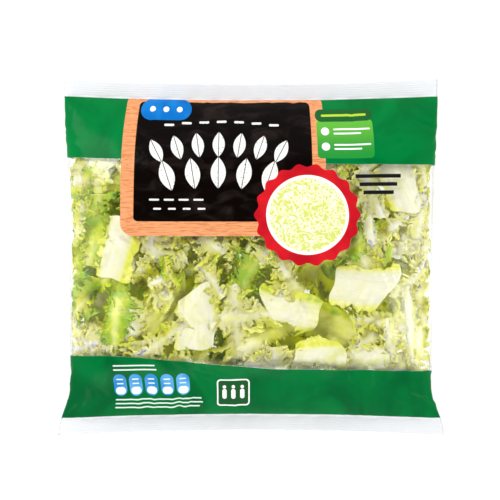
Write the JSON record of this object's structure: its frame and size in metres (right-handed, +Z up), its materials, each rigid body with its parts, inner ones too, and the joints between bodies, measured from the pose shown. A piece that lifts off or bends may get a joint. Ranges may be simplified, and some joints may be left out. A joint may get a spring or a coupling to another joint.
{
  "type": "bag of cut curly escarole heart",
  "caption": "Sealed clear pillow bag of cut curly escarole heart, white ribs and frilled leaf showing between the printed bands, lying on its back.",
  "frame": {"origin": "on the surface that the bag lies on, under the middle of its outline", "axes": "+X across the bag, +Y towards its top seal, +Z up, out of its printed front"},
  "size_m": [0.255, 0.235, 0.054],
  "materials": {
    "film": "clear glossy film with printed green bands",
    "leaf_rib": "moist white midrib, satin, finely striped along its length",
    "leaf_leaf": "moist yellow-green frilled leaf, satin",
    "leaf_tuft": "moist pale yellow frilled leaf tip, satin",
    "leaf_strip": "moist green leaf strip, satin"
  },
  "bodies": {
    "root": {"back_leaf_01": "leaf_leaf", "back_leaf_04": "leaf_leaf", "back_leaf_06": "leaf_leaf", "back_leaf_08": "leaf_leaf", "back_leaf_10": "leaf_leaf", "back_leaf_13": "leaf_leaf", "back_leaf_15": "leaf_leaf", "back_leaf_17": "leaf_leaf", "back_leaf_19": "leaf_leaf", "back_rib_02": "leaf_rib", "back_rib_07": "leaf_rib", "back_rib_11": "leaf_rib", "back_rib_16": "leaf_rib", "back_rib_20": "leaf_rib", "back_strip_05": "leaf_strip", "back_strip_14": "leaf_strip", "back_tuft_03": "leaf_tuft", "back_tuft_09": "leaf_tuft", "back_tuft_12": "leaf_tuft", "back_tuft_18": "leaf_tuft", "film_bag": "film", "front_leaf_05": "leaf_leaf", "front_leaf_15": "leaf_leaf", "front_leaf_19": "leaf_leaf", "front_leaf_21": "leaf_leaf", "front_leaf_22": "leaf_leaf", "front_leaf_24": "leaf_leaf", "front_leaf_26": "leaf_leaf", "front_leaf_27": "leaf_leaf", "front_leaf_28": "leaf_leaf", "front_leaf_30": "leaf_leaf", "front_leaf_31": "leaf_leaf", "front_leaf_32": "leaf_leaf", "front_leaf_33": "leaf_leaf", "front_leaf_34": "leaf_leaf", "front_leaf_35": "leaf_leaf", "front_rib_01": "leaf_rib", "front_rib_02": "leaf_rib", "front_rib_03": "leaf_rib", "front_rib_04": "leaf_rib", "front_rib_06": "leaf_rib", "front_rib_07": "leaf_rib", "front_rib_09": "leaf_rib", "front_rib_11": "leaf_rib", "front_rib_14": "leaf_rib", "front_rib_18": "leaf_rib", "front_strip_08": "leaf_strip", "front_strip_10": "leaf_strip", "front_strip_13": "leaf_strip", "front_strip_16": "leaf_strip", "front_tuft_12": "leaf_tuft", "front_tuft_17": "leaf_tuft", "front_tuft_20": "leaf_tuft", "front_tuft_23": "leaf_tuft", "front_tuft_25": "leaf_tuft", "front_tuft_29": "leaf_tuft"}
  },
  "joints": []
}
